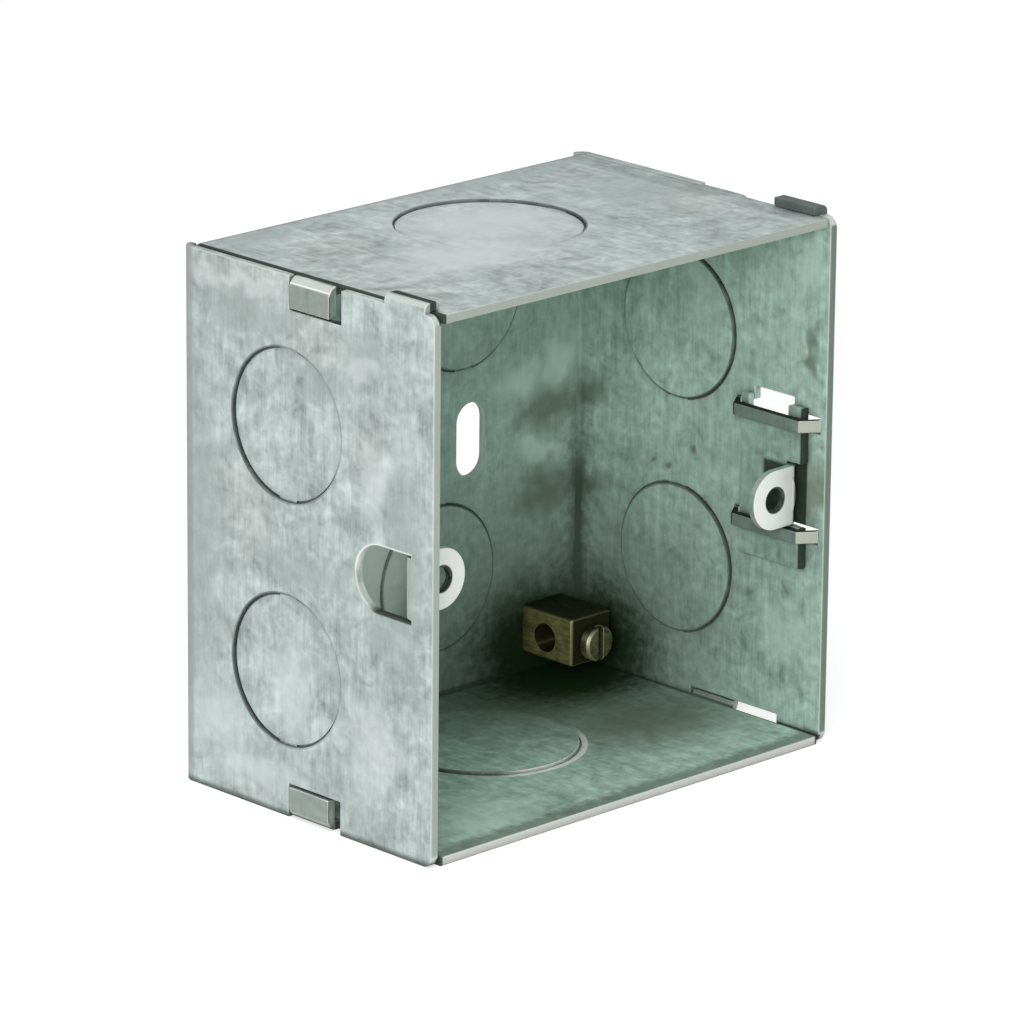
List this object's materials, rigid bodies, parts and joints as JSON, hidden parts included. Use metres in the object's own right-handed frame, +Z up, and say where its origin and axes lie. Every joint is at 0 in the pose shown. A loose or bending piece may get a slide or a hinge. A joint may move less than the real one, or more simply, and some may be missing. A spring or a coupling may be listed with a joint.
{
  "type": "flush mounting box",
  "caption": "Square flush mounting box folded from galvanised sheet, with half-sheared knock-outs, a fixed and a sliding screw lug, fixing slots and a brass earth terminal.",
  "frame": {"origin": "centre of the back's outer face", "axes": "+X to the right seen from the open front, +Y into the wall, +Z up; the open front faces -Y"},
  "size_m": [0.0724, 0.047, 0.0733],
  "materials": {
    "galvanised_sheet": "dull zinc coat with streaks, stains and bright cut edges",
    "lug_steel": "dull zinc coat, bright on the ear",
    "terminal_brass": "dull tarnished brass",
    "screw_brass": "dull tarnished brass with a worn slot"
  },
  "bodies": {
    "box": {"box_shell": "galvanised_sheet", "earth_terminal_block": "terminal_brass"},
    "adjustable_lug": {"adjustable_lug": "lug_steel"},
    "earth_screw": {"earth_terminal_screw": "screw_brass"}
  },
  "joints": [
    {"name": "lug_slide", "type": "slide", "parent": "box", "child": "adjustable_lug", "axis": [0, 0, 1], "range_m": [0, 0.0046]},
    {"name": "earth_screw_travel", "type": "slide", "parent": "box", "child": "earth_screw", "axis": [0, -1, 0], "range_m": [-0.0003, 0.0024]}
  ]
}
